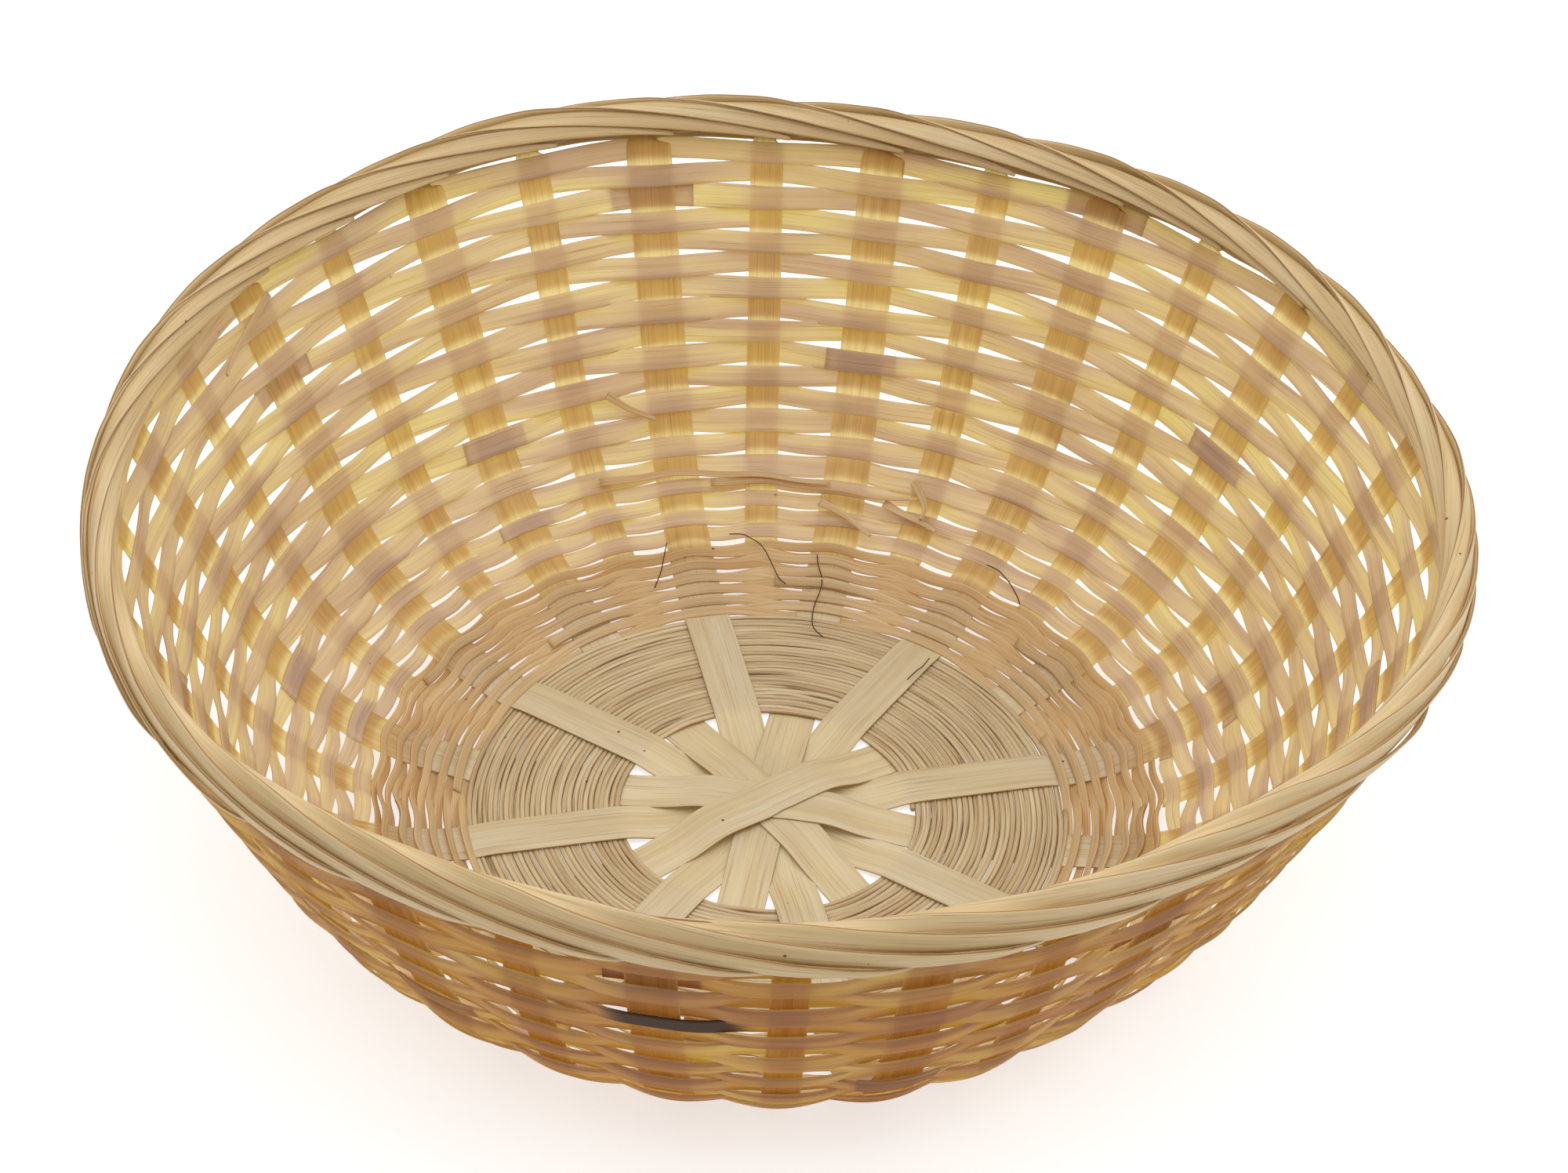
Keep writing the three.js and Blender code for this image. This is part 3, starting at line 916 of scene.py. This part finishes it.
def makeRibbon(node, s, width, side, lapAt, seed, isBurnt):
    travel = ringTravel(lapAt, ribbons["lap"], ribbons["perStake"])
    angle = travel * stakeAngle
    drift = wander(angle, ribbons["drift"]) + wander(angle, ribbons["ownDrift"], seed)
    # wide stakes stand at the odd places, where the cosine is -1
    offset = weave(travel, -side, lapAt)
    # the slip changes evenly from one stake to the next
    slip = -side * np.arcsin(ribbons["sagShape"] * np.cos(np.pi * travel)) / (np.pi / 2)
    radius, height, turn = wallProfile(s + drift - ribbons["sag"] * slip)
    normal = inwardNormal(angle, turn)
    centre = pointAt(angle, radius, height) + normal * column(offset)
    twist = np.radians(wander(angle, ribbons["twist"], seed))
    way = upSlope(angle, turn) * column(np.cos(twist)) + normal * column(np.sin(twist))
    # painted shade on the bowl's front, uneven from place to place
    front = frontness(angle, form["frontShadePower"])
    uneven = wander(angle, ribbons["unevenWidth"], seed)
    frontShade = front * (1 + wander(angle, ribbons["unevenFrontShade"], seed))
    piece = sweep(
        f"bamboo_{node}",
        centre,
        way,
        width * (1 + uneven + ribbons["frontWidening"] * front),
        ribbons["thickness"],
        ribbonBamboo,
        normal,
        {"stain": burnt(travel) if isBurnt else np.zeros(len(travel)), "frontShade": np.clip(frontShade, 0, 1)},
        grainAt("ribbon", seed),
    )
    standFor(node)


def lapPlace(row):
    return 2 * ((row * ribbons["lapSpread"]) % wideStakes) + 1


for kind in ("low", "wall"):
    count, start, pitch, width, seed = ribbons[kind]
    for row in range(count):
        node = f"{kind}_ribbon_{row + 1:02d}"
        side = -1 if row % 2 == 0 else 1
        isBurnt = kind == "wall" and row == burn["row"]
        makeRibbon(node, start + row * pitch, width, side, lapPlace(row), seed + row, isBurnt)
print("wall woven")


# Twined strands that turn the corner, standing on edge over the ends of the long strips

twined = {
    "count": 12,
    "start": 57.7,
    "pitch": 1.56,
    "width": 1.88,
    "thickness": 0.42,
    "tilt": 34.0,  # degrees off the surface
    "offset": 1.0,
    "grip": 1.2,
    "perStake": 10,
    "lap": 0.8,
    "lapRise": (31.0, 0.5),
    "lapLift": 0.62,
    "drift": (110, 9, 0.12),  # wobbles: first seed, waves and size
    "unevenTilt": (140, 9, 4.0),
}
for row in range(twined["count"]):
    lapAt = lapPlace(row)
    travel = ringTravel(lapAt, twined["lap"], twined["perStake"])
    angle = travel * stakeAngle
    s = twined["start"] + row * twined["pitch"] + wander(angle, twined["drift"], row)
    radius, height, turn = wallProfile(s)
    side = 1 if row % 2 == 0 else -1
    # the long strips stand at the odd places, two spacings apart, inside and outside in turn
    wave = np.sin(np.pi * travel / 2)
    shape = np.tanh(twined["grip"] * wave) / np.tanh(twined["grip"])
    start, over = twined["lapRise"]
    extra = np.clip((travel - (lapAt + start)) / over, 0, 1) * twined["lapLift"]
    normal = inwardNormal(angle, turn)
    centre = pointAt(angle, radius, height)
    centre += normal * column(side * shape * twined["offset"] + extra)
    tilt = np.radians(twined["tilt"] + wander(angle, twined["unevenTilt"], row))
    way = upSlope(angle, turn) * column(np.cos(tilt)) + normal * column(np.sin(tilt))
    node = f"twined_strand_{row + 1:02d}"
    piece = sweep(
        f"bamboo_{node}",
        centre,
        way,
        twined["width"],
        twined["thickness"],
        twinedBamboo,
        normal,
        slide=grainAt("twined", row),
    )
    standFor(node)
print("corner twined")


# The fine coil that binds the cross

coil = {
    "loops": 29,
    "inner": 28.0,
    "outer": 57.1,
    "perLoop": 110,
    "width": 1.08,
    "height": 0.95,
    "lift": 1.05,
    # wobbles: first seed, waves and size, in mm or as a share of the width
    "unevenRound": (5, 7, 0.10),
    "unevenRadius": (6, 40, 0.07),
    "unevenLift": (8, 60, 0.07),
    "unevenWidth": (9, 50, 0.06),
    "outOfStep": (1.7, 2.3, 1.3),  # factors that keep the last three out of step
}
turns = np.linspace(0, coil["loops"], coil["loops"] * coil["perLoop"] + 1)
angle = turns * turnRound
radius = coil["inner"] + (coil["outer"] - coil["inner"]) * turns / coil["loops"]
radius = radius + wander(angle, coil["unevenRound"])
forRadius, forLift, forWidth = (turns * factor for factor in coil["outOfStep"])
radius = radius + wander(forRadius, coil["unevenRadius"])
lift = coil["lift"] + wander(forLift, coil["unevenLift"])
piece = sweep(
    "bamboo_base_coil",
    pointAt(angle, radius, lift),
    outward(angle),
    coil["width"] * (1 + wander(forWidth, coil["unevenWidth"])),
    coil["height"],
    coilBamboo,
    stack(0 * angle, 0 * angle, 1.0),
    slide=grainAt("coil", 0),
)
standFor("base_coil")
print("base coiled")


# Hairs and splinters that the knife left standing on the inside

# each is a row of places: distance from the centre along the wall in mm, degrees round the bowl
hairs = {
    "size": 0.24,
    "wider": 1.01,  # a hair is round, but its section has to be a little wider than thick
    "lift": 2.1,
    "stations": 40,
    "dark": "4A3220",
    "roughness": 0.6,
    "paths": [
        [(76.9, 95), (76.6, 92.8), (75.2, 91.7), (73.6, 89.9), (68.8, 88.2), (65.5, 87.1), (64.1, 85.7)],
        [(72.2, 81), (69.5, 80.6), (65.5, 79.1), (61.5, 79.5), (57.9, 79.9), (51.7, 79.4), (49.5, 76.1)],
        [(76.1, 104.9), (73.3, 105.9), (69.2, 107.4), (65.6, 109.3)],
        [(80.0, 55.0), (80.4, 52.7), (79.3, 50.2), (77.2, 48.0), (75.6, 46.7)],
        [(53.2, 52.0), (50.5, 51.5), (48.2, 51.7), (45.2, 51.5)],
    ],
}
splinters = {
    "width": 1.7,
    "tipWidth": 0.45,  # as a share
    "thickness": 0.3,
    "lift": 2.3,
    "rise": 2.0,  # how far the loose end stands off
    "stations": 24,
    "paths": [
        [(84.6, 81.8), (81.5, 77.5), (78.0, 73.1)],
        [(86.7, 72.7), (84.2, 68.6), (82.6, 63.9)],
        [(92.2, 69.5), (87.1, 66.8), (83.9, 66.7)],
        [(109.5, 108.8), (106.2, 106.6), (102.9, 103.4)],
        [(156.0, 144.6), (153.6, 148.1), (151.8, 152.1), (150.4, 155.1)],
        [(91.6, 112.0), (91.2, 104.0), (90.2, 96.0), (89.0, 88.0), (88.3, 80.5)],
        [(88.6, 97.0), (88.4, 90.0), (87.6, 82.0), (87.0, 75.0), (88.0, 68.0)],
    ],
}


def layOnWall(name, places, lift, width, thickness, material, slide=0.0):
    # a thin splint on a smooth path through the places, a lift above the wall's middle surface
    knots = np.linspace(0, 1, len(places))
    spot = np.linspace(0, 1, len(lift))
    rows = np.stack([np.interp(spot, knots, part) for part in zip(*places)], -1)
    rows = rounded(rows, len(lift) // 8)
    angle = np.radians(rows[:, 1])
    radius, height, turn = wallProfile(rows[:, 0])
    normal = inwardNormal(angle, turn)
    centre = pointAt(angle, radius, height) + normal * column(lift)
    across = np.cross(normal, np.gradient(centre, axis=0))
    piece = sweep(name, centre, across, width, thickness, material, normal, slide=slide)


# Bamboo skin torn off as a hair, which dries dark and dull. It is too thin to show any grain.
hairMaterial, hairTree = newMaterial("dark_bamboo_hair")
hairSurface = addNode(
    hairTree,
    "ShaderNodeBsdfPrincipled",
    {"Base Color": colour(hairs["dark"]), "Roughness": hairs["roughness"]},
)
addNode(hairTree, "ShaderNodeOutputMaterial", links={"Surface": hairSurface.outputs[0]})
for index, places in enumerate(hairs["paths"]):
    lift = np.full(hairs["stations"], hairs["lift"])
    width = hairs["size"] * hairs["wider"]
    layOnWall(f"hair_{index + 1:02d}", places, lift, width, hairs["size"], hairMaterial)
for index, places in enumerate(splinters["paths"]):
    along = np.linspace(0, 1, splinters["stations"])
    lift = splinters["lift"] + splinters["rise"] * along**2
    width = splinters["width"] * np.linspace(1, splinters["tipWidth"], splinters["stations"])
    name = f"splinter_{index + 1:02d}"
    slide = grainAt("splinter", index)
    layOnWall(name, places, lift, width, splinters["thickness"], twinedBamboo, slide)
print("hairs and splinters laid")
